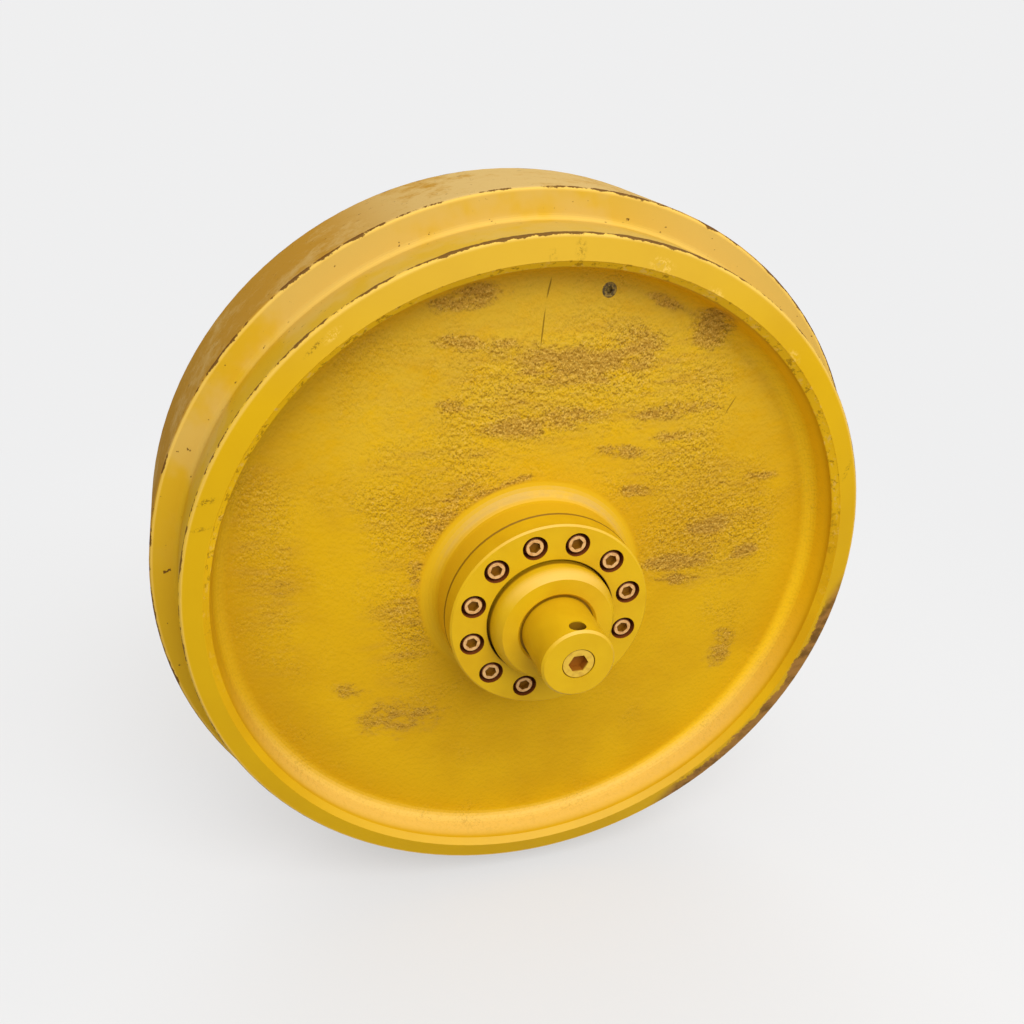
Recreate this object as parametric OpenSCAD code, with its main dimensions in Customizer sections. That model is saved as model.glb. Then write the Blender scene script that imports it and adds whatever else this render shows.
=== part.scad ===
// Front idler of a large excavator: a hollow cast wheel that turns on a fixed shaft.
// The wheel turns about the Y axis, its front face looks along -Y, and Z is up.
// Each half is drawn as a lathe profile of radius against height from the mid-plane.
// Millimetres.

/* [Rim] */
// Radius of the tread, where the track links run
tread_r = 400; // [360:1:460]
// Half width of the wheel at the outer edge of the tread
tread_half_w = 141.5; // [130:0.5:170]
// Rise of the centre flange above the tread
flange_rise = 31; // [20:1:45]
// Half width of the centre flange at its top
flange_half_w = 69; // [55:0.5:85]
// Widening of the flange from its top to its root, on each side
flange_draft = 2; // [0:0.5:6]
// Fillet between the flange and the tread
flange_fillet = 8; // [3:0.5:14]
// Chamfer on the edges of the tread and the flange
edge_chamfer = 2.5; // [1:0.5:5]
// Radial width of the cone-shaped side face of the rim
rim_face_w = 25; // [16:0.5:34]
// How far the rim's ridge stands out past the tread edge
rim_face_rise = 5; // [2:0.5:10]
// Chamfer inside the ridge
ridge_chamfer = 7; // [3:0.5:10]
// Thickness of the rim under the tread
rim_t = 46; // [40:1:60]

/* [Web] */
// Depth of the recess, from the ridge to the web beside the rim
recess_depth = 43; // [30:0.5:56]
// Draft of the recess wall
recess_draft = 3; // [0:0.5:6]
// Fillet between the recess wall and the web
recess_fillet = 15; // [6:1:20]
// Rise of the web from the rim towards the hub
web_dish = 10; // [0:0.5:16]
// Thickness of the web
web_t = 26; // [18:1:36]
// Fillet in the corners of the inner cavity
cavity_fillet = 14; // [4:1:20]
// Radius of the foundry vent in the web
vent_r = 8; // [5:0.5:10]
// Distance from the recess wall to the middle of the vent
vent_inset = 23; // [18:1:60]
// Angle of the vent, from +X towards +Z
vent_angle = 78; // [0:1:360]

/* [Hub] */
// Half width across the machined hub faces
hub_face_h = 160; // [150:0.5:178]
// Radius of the machined hub boss
boss_r = 115; // [112:0.5:125]
// Fillet between the boss and the web
boss_fillet = 18; // [8:1:24]
// Chamfer of the outer edge of the boss
boss_edge = 1; // [0.5:0.5:3]
// Outer radius of the hub tube inside the cavity
hub_tube_r = 112; // [106:1:124]
// Radius of the counterbore that takes the cover's spigot
seal_bore_r = 79; // [77.5:0.5:80]
// Depth of that counterbore
seal_bore_depth = 27.5; // [24:0.5:34]
// Depth of the weld groove round the flange
rim_weld_d = 14; // [8:1:20]
// Depth of the weld groove inside the hub
hub_weld_d = 7; // [4:0.5:12]

/* [Shaft] */
// Radius of the journal
journal_r = 55; // [51:0.5:58]
// How far the journal ends behind the floor of the seal housing
journal_back = 1; // [0.5:0.5:4]
// Half width of the thrust collar in the middle of the shaft
thrust_half_w = 14; // [8:1:24]
// Radius of the seat that the seal collar is pressed on
seat_r = 42; // [41.5:0.5:46]
// Radius of the shaft end that the track frame holds
stub_r = 40; // [34:0.5:41]
// Length of the shaft end in front of the seal collar
stub_l = 67.5; // [50:0.5:90]
// Chamfer of the journal and of the thrust collar
journal_chamfer = 1.5; // [0.5:0.5:3]
// Chamfer of the shaft end
stub_chamfer = 2.5; // [1:0.5:5]
// Radius of the hole for the locking pin
lock_r = 9; // [5:0.5:11]
// Distance of that hole from the end of the shaft
lock_inset = 11.6; // [11.5:0.1:40]
// Wall left between that hole and the plug bore
lock_wall = 4; // [3:0.5:8]
// Radius of the oil drilling along the shaft
oil_r = 6; // [3:0.5:9]

/* [Oil plug] */
// Radius of the plug
plug_r = 18; // [14:0.5:20]
// Length of the plug
plug_l = 20; // [15:0.5:30]
// Size of its hexagon socket, across the flats
plug_hex = 19; // [12:0.5:22]
// Depth of that socket
plug_hex_depth = 11; // [6:0.5:14]
// How far the plug sits below the end of the shaft
plug_sink = 0.8; // [0.2:0.1:3]
// Space behind the plug
plug_space = 4; // [2:0.5:10]

/* [Bushes] */
// Wall of the bush
bush_wall = 8; // [5:0.5:10]
// Thickness of the bush flange
bush_flange_t = 6; // [4:0.5:8]
// Chamfer of the bush bore and of its inner end
bush_chamfer = 1.5; // [0.5:0.5:3]
// Gap round the bush flange
bush_flange_gap = 2; // [1:0.5:4]
// Width of the oil grooves in the bush
groove_w = 8; // [4:0.5:12]
// Depth of the oil grooves
groove_d = 2; // [1:0.5:4]
// Number of oil grooves
groove_count = 4; // [2:1:8]

/* [Cover] */
// Radius of the cover
cover_r = 114.5; // [112:0.5:118]
// Thickness of the cover in front of the hub face
cover_t = 27; // [24:0.5:36]
// Radius of the opening that the collar passes through
cover_bore_r = 73; // [71.5:0.5:74.5]
// Chamfer of the cover's front edge
cover_chamfer = 2; // [0.5:0.5:4]
// Chamfer of the cover's back edge
cover_back_chamfer = 1; // [0.5:0.5:2]
// Thickness of the lip that holds the bush
lip_t = 10; // [7:0.5:12]
// Gap between the lip and the journal
lip_gap = 2; // [1:0.5:3]

/* [Cover screws] */
// Number of screws
screw_count = 12; // [8:1:14]
// Radius of the screw circle
screw_circle_r = 92; // [91:0.5:95]
// Angle of the first screw, from +X towards +Z
screw_phase = 13.75; // [0:0.25:30]
// Radius of the screw shank
screw_r = 7; // [5:0.5:7.5]
// Length of the screw under its head
screw_l = 45; // [38:1:52]
// Radius of the screw head
head_r = 10.5; // [8.5:0.5:12]
// Height of the screw head
head_h = 14; // [10:0.5:15]
// Size of the hexagon socket, across the flats
head_hex = 12; // [8:0.5:14]
// Depth of that socket
head_hex_depth = 7; // [4:0.5:9]
// Radius of the counterbore for the head
cbore_r = 14; // [12.5:0.5:15]
// How far the head sits below the face of the cover
head_sink = 1.5; // [0.5:0.1:3]

/* [Seal collar] */
// How far the collar stands out in front of the cover
collar_out = 25.5; // [18:0.5:36]
// Gap between the collar and the cover
labyrinth_gap = 2.5; // [1.5:0.5:3]
// How far the nose of the collar is drawn in
nose_in = 8; // [2:0.5:12]
// Length of the curved nose
nose_l = 18; // [8:1:24]
// Chamfer of the collar's bore at its face
collar_bore_chamfer = 3; // [1:0.5:5]
// Radius of the sleeve that passes through the seal
sleeve_r = 50; // [48:0.5:51]
// How far the seat on the shaft ends behind the collar's bore chamfer
seat_recess = 1; // [0.5:0.5:6]

/* [Face seal] */
// Radius of the housing that holds the rubber ring
seal_house_r = 67; // [66.5:0.5:68]
// Half length of the seal, from its running face to the housing floor
seal_half_l = 16; // [15.5:0.5:20]
// Inner radius of the metal rings
ring_in_r = 53; // [52:0.5:54]
// Wall of the stem of a metal ring
ring_stem_t = 4.5; // [3.5:0.5:5]
// Thickness of the running flange of a metal ring
ring_face_t = 4; // [3:0.5:5]
// Slope of the ramps that squeeze the rubber ring, in degrees
seal_ramp = 10; // [4:1:14]
// Gap between that flange and the housing
ring_face_gap = 3; // [1.5:0.5:4]

/* [O-rings] */
// Section diameter of the cover's O-ring
cover_ring_d = 4; // [2.5:0.5:5]
// Section diameter of the collar's O-ring
collar_ring_d = 3.5; // [2.5:0.5:5]
// Extra width of an O-ring groove
ring_groove_extra = 1; // [0.5:0.25:2]

/* [Clearances] */
// Running clearance between the journal and the bush, on the radius
run_clear = 0.05; // [0.02:0.01:0.1]
// End play of the wheel on each side of the thrust collar
end_play = 0.3; // [0.2:0.05:1]
// Gap between the running faces of the seal
seal_gap = 0.2; // [0.1:0.05:0.5]
// Gap round a rubber ring
rubber_gap = 0.1; // [0.05:0.05:0.3]
// Gap round the screws and the oil plug, on the radius
thread_gap = 0.1; // [0.05:0.05:0.3]
// Gap between the thrust collar and the hub bore
thrust_gap = 1; // [0.5:0.1:2]

/* [Hidden] */
$fn = 96;
paint = [0.87, 0.68, 0.08];
worn_paint = [0.78, 0.62, 0.24];
steel = [0.72, 0.60, 0.48];
bronze = [0.70, 0.50, 0.22];
iron = [0.42, 0.42, 0.44];
rubber = [0.10, 0.10, 0.10];
flange_r = tread_r + flange_rise;
ridge_r = tread_r - rim_face_w;
ridge_h = tread_half_w + rim_face_rise;
wall_top_r = ridge_r - ridge_chamfer;
wall_foot_r = wall_top_r - recess_draft;
web_rim_h = ridge_h - recess_depth;
web_hub_h = web_rim_h + web_dish;
rim_in_r = tread_r - rim_t;
cavity_rim_h = web_rim_h - web_t;
cavity_hub_h = web_hub_h - web_t;
vent_at_r = wall_foot_r - vent_inset;
vent_rise = web_dish * (wall_foot_r - vent_at_r) / (wall_foot_r - boss_r);
hub_bore_r = journal_r + run_clear + bush_wall;
bush_seat_h = hub_face_h - seal_bore_depth;
bush_in_h = thrust_half_w + end_play;
lip_h = bush_seat_h + bush_flange_t;
rotating_floor_h = lip_h + lip_t;
journal_half_l = rotating_floor_h - journal_back;
seal_h = rotating_floor_h + seal_half_l;
fixed_floor_h = seal_h + seal_half_l;
cover_h = hub_face_h + cover_t;
collar_r = cover_bore_r - labyrinth_gap;
collar_h = cover_h + collar_out;
seat_h = collar_h - collar_bore_chamfer - seat_recess;
shaft_h = collar_h + stub_l;
lock_h = shaft_h - lock_inset;
plug_bore_l = plug_sink + plug_l + plug_space;
thrust_r = hub_bore_r - thrust_gap;
cbore_depth = head_sink + head_h;
head_seat_h = cover_h - cbore_depth;
screw_tip_h = head_seat_h - screw_l;
screw_hole_h = screw_tip_h - 4;
ring_stem_r = ring_in_r + ring_stem_t;
ring_face_r = seal_house_r - ring_face_gap;
ramp_from = ring_face_t + seal_gap / 2;
toric_r = (seal_house_r - ring_stem_r) / 2 * cos(seal_ramp) - rubber_gap;
toric_back = ramp_from + rubber_gap + toric_r;
toric_at_r = (seal_house_r + ring_stem_r) / 2 - (toric_back - ramp_from) * tan(seal_ramp);
house_floor_r = seal_house_r - (seal_half_l - ramp_from) * tan(seal_ramp);
cover_groove_r = seal_bore_r - cover_ring_d;
cover_groove_w = cover_ring_d + ring_groove_extra;
cover_groove_h = (rotating_floor_h + hub_face_h) / 2;
collar_groove_r = seat_r + collar_ring_d;
collar_groove_w = collar_ring_d + ring_groove_extra;
collar_groove_h = (fixed_floor_h + seat_h) / 2;

// Points of an arc in a lathe profile
function arc(middle, size, from, to, steps = 6) = [
    for (i = [0 : steps])
        let (angle = from + (to - from) * i / steps)
        [middle[0] + size * cos(angle), middle[1] + size * sin(angle)]
];

// Turns a lathe piece so that its height runs towards the front
module front() {
    rotate([90, 0, 0]) children();
}

// The mirror image of the front
module rear() {
    mirror([0, 1, 0]) rotate([90, 0, 0]) children();
}

// A ring turned from a profile of radius against height
module turned(profile) {
    rotate_extrude() polygon(profile);
}

// A disc or a drill along the lathe axis
module rod(radius, low, high) {
    translate([0, 0, low]) cylinder(r = radius, h = high - low);
}

// A round ring with a round section
module round_ring(at_r, at_h, section_r) {
    rotate_extrude() translate([at_r, at_h]) circle(r = section_r, $fn = 40);
}

// A hexagon socket, measured across its flats
module hexagon(flats, low, high) {
    translate([0, 0, low]) cylinder(r = flats / 2 / cos(30), h = high - low, $fn = 6);
}

// Repeats a piece at each screw
module at_screws() {
    for (i = [0 : screw_count - 1])
        rotate([0, 0, screw_phase + 360 / screw_count * i])
            translate([screw_circle_r, 0, 0]) children();
}

// Places a piece at the foundry vent
module at_vent() {
    rotate([0, 0, vent_angle]) translate([vent_at_r, 0, 0]) children();
}

// Half of the wheel, from the mid-plane outwards
module half_shell() {
    difference() {
        turned(concat(
            [
                [hub_bore_r + hub_weld_d, 0],
                [hub_bore_r, hub_weld_d * tan(35)],
                [hub_bore_r, bush_seat_h],
                [seal_bore_r, bush_seat_h],
                [seal_bore_r, hub_face_h]
            ],
            [[boss_r - boss_edge, hub_face_h], [boss_r, hub_face_h - boss_edge]],
            arc([boss_r + boss_fillet, web_hub_h + boss_fillet], boss_fillet, 180, 268),
            arc([wall_foot_r - recess_fillet, web_rim_h + recess_fillet], recess_fillet, 268, 355),
            [
                [wall_top_r, ridge_h - ridge_chamfer],
                [ridge_r, ridge_h],
                [tread_r - edge_chamfer, tread_half_w + rim_face_rise * edge_chamfer / rim_face_w],
                [tread_r, tread_half_w - edge_chamfer]
            ],
            arc([tread_r + flange_fillet, flange_half_w + flange_draft + flange_fillet], flange_fillet, 180, 270),
            [
                [flange_r - edge_chamfer, flange_half_w],
                [flange_r, flange_half_w - edge_chamfer],
                [flange_r, rim_weld_d * tan(30)],
                [flange_r - rim_weld_d, 0],
                [rim_in_r, 0]
            ],
            arc([rim_in_r - cavity_fillet, cavity_rim_h - cavity_fillet], cavity_fillet, 0, 90),
            arc([hub_tube_r + cavity_fillet, cavity_hub_h - cavity_fillet], cavity_fillet, 90, 180),
            [[hub_tube_r, 0]]
        ));
        at_screws() rod(screw_r + thread_gap, screw_hole_h, hub_face_h + 1);
        at_vent() rod(vent_r, cavity_rim_h - cavity_fillet, ridge_h);
    }
}

// Front half of the wheel
module half_shell_front() {
    color(paint) front() half_shell();
}

// Rear half of the wheel
module half_shell_rear() {
    color(paint) rear() half_shell();
}

// Weld that joins the two halves round the flange
module rim_weld() {
    half_w = rim_weld_d * tan(30);
    color(worn_paint) front() turned([[flange_r - rim_weld_d, 0], [flange_r, -half_w], [flange_r, half_w]]);
}

// Weld that joins the two halves inside the hub bore
module hub_weld() {
    half_w = hub_weld_d * tan(35);
    color(iron) front() turned([[hub_bore_r + hub_weld_d, 0], [hub_bore_r, half_w], [hub_bore_r, -half_w]]);
}

// Plug in the foundry vent, dished in the middle
module vent_plug() {
    top_h = web_rim_h + vent_rise - 1;
    at_vent() difference() {
        rod(vent_r, cavity_rim_h, top_h);
        rod(vent_r * 0.45, top_h - 4, top_h + 1);
    }
}

// Front vent plug
module vent_plug_front() {
    color(iron) front() vent_plug();
}

// Rear vent plug
module vent_plug_rear() {
    color(iron) rear() vent_plug();
}

// Flanged bush with straight oil grooves
module bush() {
    bore_r = journal_r + run_clear;
    difference() {
        turned([
            [bore_r + bush_chamfer, bush_in_h],
            [hub_bore_r - bush_chamfer, bush_in_h],
            [hub_bore_r, bush_in_h + bush_chamfer],
            [hub_bore_r, bush_seat_h],
            [seal_bore_r - bush_flange_gap, bush_seat_h],
            [seal_bore_r - bush_flange_gap, lip_h],
            [bore_r + bush_chamfer, lip_h],
            [bore_r, lip_h - bush_chamfer],
            [bore_r, bush_in_h + bush_chamfer]
        ]);
        for (i = [0 : groove_count - 1])
            rotate([0, 0, 45 + 360 / groove_count * i])
                translate([bore_r - groove_d, -groove_w / 2, bush_in_h - 1])
                    cube([groove_d * 2, groove_w, bush_seat_h - bush_in_h]);
    }
}

// Front bush
module bush_front() {
    color(bronze) front() bush();
}

// Rear bush
module bush_rear() {
    color(bronze) rear() bush();
}

// Bolted cover with its spigot, seal housing and screw holes
module cover() {
    difference() {
        turned([
            [journal_r + lip_gap, lip_h],
            [seal_bore_r, lip_h],
            [seal_bore_r, cover_groove_h - cover_groove_w / 2],
            [cover_groove_r, cover_groove_h - cover_groove_w / 2],
            [cover_groove_r, cover_groove_h + cover_groove_w / 2],
            [seal_bore_r, cover_groove_h + cover_groove_w / 2],
            [seal_bore_r, hub_face_h],
            [cover_r - cover_back_chamfer, hub_face_h],
            [cover_r, hub_face_h + cover_back_chamfer],
            [cover_r, cover_h - cover_chamfer],
            [cover_r - cover_chamfer, cover_h],
            [cover_bore_r, cover_h],
            [cover_bore_r, seal_h],
            [seal_house_r, seal_h],
            [seal_house_r, seal_h - ramp_from],
            [house_floor_r, rotating_floor_h],
            [journal_r + lip_gap, rotating_floor_h]
        ]);
        at_screws() rod(screw_r + thread_gap * 5, hub_face_h - 1, cover_h);
        at_screws() rod(cbore_r, head_seat_h, cover_h + 1);
    }
}

// Front cover
module cover_front() {
    color(paint) front() cover();
}

// Rear cover
module cover_rear() {
    color(paint) rear() cover();
}

// O-ring on the spigot of a cover
module cover_oring() {
    round_ring(seal_bore_r - cover_ring_d / 2, cover_groove_h, cover_ring_d / 2 - rubber_gap / 2);
}

// Front cover O-ring
module cover_oring_front() {
    color(rubber) front() cover_oring();
}

// Rear cover O-ring
module cover_oring_rear() {
    color(rubber) rear() cover_oring();
}

// Socket-head screws of a cover
module cover_screws() {
    at_screws() difference() {
        union() {
            rod(screw_r, screw_tip_h, head_seat_h);
            turned([
                [0, head_seat_h],
                [head_r, head_seat_h],
                [head_r, head_seat_h + head_h - 1],
                [head_r - 1, head_seat_h + head_h],
                [0, head_seat_h + head_h]
            ]);
        }
        hexagon(head_hex, head_seat_h + head_h - head_hex_depth, head_seat_h + head_h + 1);
    }
}

// Front cover screws
module cover_screws_front() {
    color(steel) front() cover_screws();
}

// Rear cover screws
module cover_screws_rear() {
    color(steel) rear() cover_screws();
}

// Metal ring of the face seal, with its running flange at height zero and its stem upwards
module seal_ring() {
    back_l = toric_back + toric_r;
    turned([
        [ring_in_r, seal_gap / 2],
        [ring_face_r, seal_gap / 2],
        [ring_face_r, ramp_from],
        [ring_stem_r, ramp_from],
        [ring_stem_r - (back_l - ramp_from) * tan(seal_ramp), back_l],
        [ring_in_r, back_l]
    ]);
}

// Rubber ring that loads a metal ring
module seal_toric() {
    round_ring(toric_at_r, toric_back, toric_r);
}

// Turns the half of the seal that stays with the wheel
module rotating_half() {
    translate([0, 0, seal_h]) mirror([0, 0, 1]) children();
}

// Places the half of the seal that stays with the shaft
module fixed_half() {
    translate([0, 0, seal_h]) children();
}

// Front rotating metal ring
module seal_ring_rotating_front() {
    color(iron) front() rotating_half() seal_ring();
}

// Rear rotating metal ring
module seal_ring_rotating_rear() {
    color(iron) rear() rotating_half() seal_ring();
}

// Front rotating rubber ring
module seal_toric_rotating_front() {
    color(rubber) front() rotating_half() seal_toric();
}

// Rear rotating rubber ring
module seal_toric_rotating_rear() {
    color(rubber) rear() rotating_half() seal_toric();
}

// Front fixed metal ring
module seal_ring_fixed_front() {
    color(iron) front() fixed_half() seal_ring();
}

// Rear fixed metal ring
module seal_ring_fixed_rear() {
    color(iron) rear() fixed_half() seal_ring();
}

// Front fixed rubber ring
module seal_toric_fixed_front() {
    color(rubber) front() fixed_half() seal_toric();
}

// Rear fixed rubber ring
module seal_toric_fixed_rear() {
    color(rubber) rear() fixed_half() seal_toric();
}

// Cuts made at each end of the shaft: plug bore and locking hole
module shaft_end_cuts() {
    rod(plug_r, shaft_h - plug_bore_l, shaft_h + 1);
    translate([0, plug_r + lock_wall, lock_h]) rotate([-90, 0, 0]) cylinder(r = lock_r, h = stub_r);
}

// Shaft with its thrust collar, collar seats, drillings and end holes
module shaft() {
    half = [
        [thrust_r, thrust_half_w - journal_chamfer],
        [thrust_r - journal_chamfer, thrust_half_w],
        [journal_r, thrust_half_w],
        [journal_r, journal_half_l - journal_chamfer],
        [journal_r - journal_chamfer, journal_half_l],
        [seat_r, journal_half_l],
        [seat_r, seat_h],
        [stub_r, seat_h],
        [stub_r, shaft_h - stub_chamfer],
        [stub_r - stub_chamfer, shaft_h],
        [0, shaft_h]
    ];
    back = [for (i = [len(half) - 1 : -1 : 0]) [half[i][0], -half[i][1]]];
    color(paint) difference() {
        front() turned(concat(half, back));
        front() shaft_end_cuts();
        rear() shaft_end_cuts();
        front() rod(oil_r, -shaft_h, shaft_h);
        translate([0, 0, -thrust_r - 1]) cylinder(r = oil_r, h = 2 * thrust_r + 2);
    }
}

// Seal collar that is pressed on the shaft
module collar() {
    turned(concat(
        [
            [seat_r, journal_half_l],
            [sleeve_r, journal_half_l],
            [sleeve_r, fixed_floor_h],
            [house_floor_r, fixed_floor_h],
            [seal_house_r, seal_h + ramp_from],
            [seal_house_r, seal_h + seal_gap],
            [collar_r, seal_h + seal_gap]
        ],
        [
            for (i = [0 : 8])
                [collar_r - nose_in * pow(i / 8, 2), collar_h - nose_l * (1 - i / 8)]
        ],
        [
            [seat_r + collar_bore_chamfer, collar_h],
            [seat_r, collar_h - collar_bore_chamfer],
            [seat_r, collar_groove_h + collar_groove_w / 2],
            [collar_groove_r, collar_groove_h + collar_groove_w / 2],
            [collar_groove_r, collar_groove_h - collar_groove_w / 2],
            [seat_r, collar_groove_h - collar_groove_w / 2]
        ]
    ));
}

// Front seal collar
module collar_front() {
    color(paint) front() collar();
}

// Rear seal collar
module collar_rear() {
    color(paint) rear() collar();
}

// O-ring between a collar and the shaft
module collar_oring() {
    round_ring(seat_r + collar_ring_d / 2, collar_groove_h, collar_ring_d / 2 - rubber_gap / 2);
}

// Front collar O-ring
module collar_oring_front() {
    color(rubber) front() collar_oring();
}

// Rear collar O-ring
module collar_oring_rear() {
    color(rubber) rear() collar_oring();
}

// Oil plug with a hexagon socket
module fill_plug() {
    top_h = shaft_h - plug_sink;
    difference() {
        turned([
            [0, top_h - plug_l],
            [plug_r - thread_gap, top_h - plug_l],
            [plug_r - thread_gap, top_h - 1],
            [plug_r - thread_gap - 1, top_h],
            [0, top_h]
        ]);
        hexagon(plug_hex, top_h - plug_hex_depth, top_h + 1);
    }
}

// Front oil plug
module fill_plug_front() {
    color(worn_paint) front() fill_plug();
}

// Rear oil plug
module fill_plug_rear() {
    color(worn_paint) rear() fill_plug();
}

half_shell_front();
half_shell_rear();
rim_weld();
hub_weld();
vent_plug_front();
vent_plug_rear();
bush_front();
bush_rear();
cover_front();
cover_rear();
cover_oring_front();
cover_oring_rear();
cover_screws_front();
cover_screws_rear();
seal_ring_rotating_front();
seal_ring_rotating_rear();
seal_toric_rotating_front();
seal_toric_rotating_rear();
shaft();
collar_front();
collar_rear();
collar_oring_front();
collar_oring_rear();
seal_ring_fixed_front();
seal_ring_fixed_rear();
seal_toric_fixed_front();
seal_toric_fixed_rear();
fill_plug_front();
fill_plug_rear();
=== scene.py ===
import math
import bpy
import bmesh
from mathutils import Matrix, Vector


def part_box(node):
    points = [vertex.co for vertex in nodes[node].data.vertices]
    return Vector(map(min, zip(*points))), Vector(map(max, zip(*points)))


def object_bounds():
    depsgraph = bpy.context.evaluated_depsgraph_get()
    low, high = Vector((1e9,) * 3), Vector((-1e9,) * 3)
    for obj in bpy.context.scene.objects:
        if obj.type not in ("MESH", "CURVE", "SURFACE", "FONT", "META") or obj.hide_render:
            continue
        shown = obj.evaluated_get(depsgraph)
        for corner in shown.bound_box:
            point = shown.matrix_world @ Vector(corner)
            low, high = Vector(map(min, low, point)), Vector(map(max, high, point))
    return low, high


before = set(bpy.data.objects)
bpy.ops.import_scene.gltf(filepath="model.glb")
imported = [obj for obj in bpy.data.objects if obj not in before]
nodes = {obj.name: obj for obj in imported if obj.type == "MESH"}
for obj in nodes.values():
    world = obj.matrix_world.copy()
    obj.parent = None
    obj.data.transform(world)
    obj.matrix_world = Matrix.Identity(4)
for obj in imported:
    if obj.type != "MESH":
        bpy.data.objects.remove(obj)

cadLow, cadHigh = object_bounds()
print("frame loaded with", len(nodes), "nodes")

# radii, and distances from the mid-plane, that the finishes follow
flangeRadius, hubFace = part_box("half_shell_rear")[1][:2]
coverRadius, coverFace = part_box("cover_rear")[1][:2]
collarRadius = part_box("collar_rear")[1].x
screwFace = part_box("cover_screws_rear")[1].y
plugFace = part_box("fill_plug_rear")[1].y


# node helpers shared by all the finishes

def tint(red, green, blue):
    # screen colour, 0 to 255, to the shader's linear colour
    linear = []
    for part in (red, green, blue):
        value = part / 255.0
        linear.append(value / 12.92 if value <= 0.04045 else ((value + 0.055) / 1.055) ** 2.4)
    return (*linear, 1.0)


def newFinish(name, roughness=0.5, metallic=0.0):
    material = bpy.data.materials.new(name)
    material.use_nodes = True
    shader = material.node_tree.nodes["Principled BSDF"]
    shader.inputs["Roughness"].default_value = roughness
    shader.inputs["Metallic"].default_value = metallic
    return material, material.node_tree, shader


def feed(tree, value, socket):
    if isinstance(value, bpy.types.NodeSocket):
        tree.links.new(value, socket)
    else:
        socket.default_value = value


def calc(tree, operation, first, second=0.0):
    node = tree.nodes.new("ShaderNodeMath")
    node.operation = operation
    feed(tree, first, node.inputs[0])
    feed(tree, second, node.inputs[1])
    return node.outputs[0]


def chain(tree, operation, parts):
    result = parts[0]
    for part in parts[1:]:
        result = calc(tree, operation, result, part)
    return result


def both(tree, *parts):
    return chain(tree, "MULTIPLY", parts)


def either(tree, *parts):
    return chain(tree, "MAXIMUM", parts)


def plus(tree, *parts):
    return chain(tree, "ADD", parts)


def less(tree, first, second):
    return calc(tree, "SUBTRACT", first, second)


def swing(tree, noise, amount):
    # noise swinging about zero
    return both(tree, less(tree, noise, 0.5), amount)


def reach(tree, across, along):
    # length of two offsets at right angles
    return calc(tree, "SQRT", plus(tree, both(tree, across, across), both(tree, along, along)))


def fade(tree, value, low, high):
    # 0 at low and 1 at high, and the other way round when low is the larger
    node = tree.nodes.new("ShaderNodeMapRange")
    node.interpolation_type = "SMOOTHSTEP"
    turned = low > high
    feed(tree, value, node.inputs["Value"])
    node.inputs["From Min"].default_value = min(low, high)
    node.inputs["From Max"].default_value = max(low, high)
    node.inputs["To Min"].default_value = 1.0 if turned else 0.0
    node.inputs["To Max"].default_value = 0.0 if turned else 1.0
    return node.outputs["Result"]


def between(tree, value, low, high, soft):
    return both(tree, fade(tree, value, low - soft, low + soft), fade(tree, value, high + soft, high - soft))


def blend(tree, amount, first, second):
    node = tree.nodes.new("ShaderNodeMix")
    node.data_type = "RGBA"
    feed(tree, amount, node.inputs[0])
    feed(tree, first, node.inputs[6])
    feed(tree, second, node.inputs[7])
    return node.outputs[2]


def coat(tree, colour, tone, *masks):
    # tone over colour, where all the masks let it through
    return blend(tree, both(tree, *masks), colour, tone)


def pick(tree, amount, first, second):
    # place for a pattern: first where amount is 0, second where it is 1
    node = tree.nodes.new("ShaderNodeMix")
    node.data_type = "VECTOR"
    feed(tree, amount, node.inputs[0])
    feed(tree, first, node.inputs[4])
    feed(tree, second, node.inputs[5])
    return node.outputs[1]


def stretch(tree, place, scale=(1.0, 1.0, 1.0), turn=(0.0, 0.0, 0.0), shift=(0.0, 0.0, 0.0), kind="POINT"):
    node = tree.nodes.new("ShaderNodeMapping")
    node.vector_type = kind
    feed(tree, place, node.inputs["Vector"])
    node.inputs["Location"].default_value = shift
    node.inputs["Rotation"].default_value = turn
    node.inputs["Scale"].default_value = scale
    return node.outputs["Vector"]


def grain(tree, place, scale, detail, roughness=0.55, shift=None):
    # scale is one number, or one each for x, y and z
    if shift:
        place = stretch(tree, place, shift=shift)
    if isinstance(scale, tuple):
        place = stretch(tree, place, scale)
        scale = 1.0
    node = tree.nodes.new("ShaderNodeTexNoise")
    feed(tree, place, node.inputs["Vector"])
    node.inputs["Scale"].default_value = scale
    node.inputs["Detail"].default_value = detail
    node.inputs["Roughness"].default_value = roughness
    return node.outputs["Fac"]


def size(tree, place):
    node = tree.nodes.new("ShaderNodeVectorMath")
    node.operation = "LENGTH"
    feed(tree, place, node.inputs[0])
    return node.outputs["Value"]


def addBump(tree, height, strength, distance, shader):
    node = tree.nodes.new("ShaderNodeBump")
    node.inputs["Strength"].default_value = strength
    node.inputs["Distance"].default_value = distance
    feed(tree, height, node.inputs["Height"])
    feed(tree, node.outputs["Normal"], shader.inputs["Normal"])


def dress(names, material):
    for name in names:
        mesh = nodes[name].data
        if not mesh.materials:
            mesh.materials.append(material)
        for index in range(len(mesh.materials)):
            mesh.materials[index] = material


# where a surface counts as front half, as level, or as a slope that looks up and out and gets a painted
# highlight
facing = {
    "front": (0.002, -0.002),
    "level": (0.10, 0.75),
    "upward": (0.35, 0.85),
    "outward": (0.10, 0.55),
}


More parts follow.
